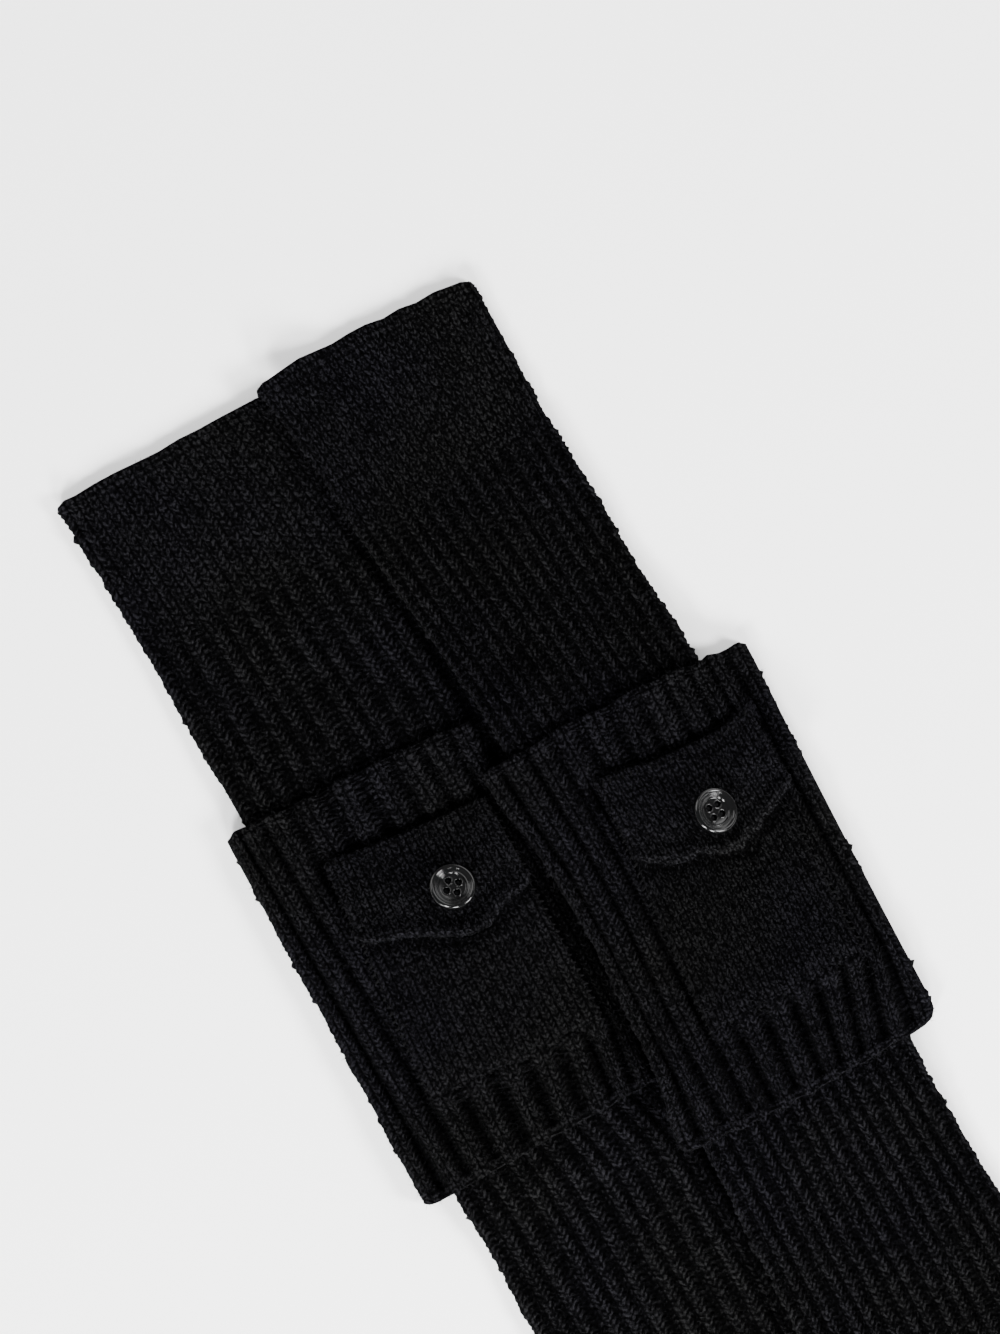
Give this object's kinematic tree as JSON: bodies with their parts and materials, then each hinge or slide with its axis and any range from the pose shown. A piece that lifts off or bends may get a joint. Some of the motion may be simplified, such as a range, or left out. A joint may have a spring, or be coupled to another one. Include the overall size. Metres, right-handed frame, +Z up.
{
  "type": "pair of mid-calf socks",
  "caption": "Pair of chunky ribbed socks laid flat, one lapping the other, with a wide ribbed band, patch pocket, pointed flap and button on each leg.",
  "frame": {"origin": "centre of the pair's plan, on the surface that it lies on", "axes": "+Y runs up the legs from the feet to the open hems, +Z is up from the surface, the left sock is towards -X with its toe at -X and the right one towards +X with its toe at +X"},
  "size_m": [0.4086, 0.461, 0.0242],
  "materials": {
    "leg_knit": "charcoal black chunky yarn, ribbed knit with a plain hem and foot, matt and slightly hairy",
    "band_knit": "charcoal black chunky yarn, wide deep ribs, matt and slightly hairy",
    "pocket_knit": "charcoal black plain knit, matt",
    "flap_knit": "charcoal black plain knit with a turned edge, matt",
    "button_resin": "glossy black resin"
  },
  "bodies": {
    "root": {"sock_l_body": "leg_knit", "sock_l_band": "band_knit", "sock_l_pocket": "pocket_knit", "sock_l_flap": "flap_knit", "sock_l_button": "button_resin", "sock_r_body": "leg_knit", "sock_r_band": "band_knit", "sock_r_pocket": "pocket_knit", "sock_r_flap": "flap_knit", "sock_r_button": "button_resin"}
  },
  "joints": []
}
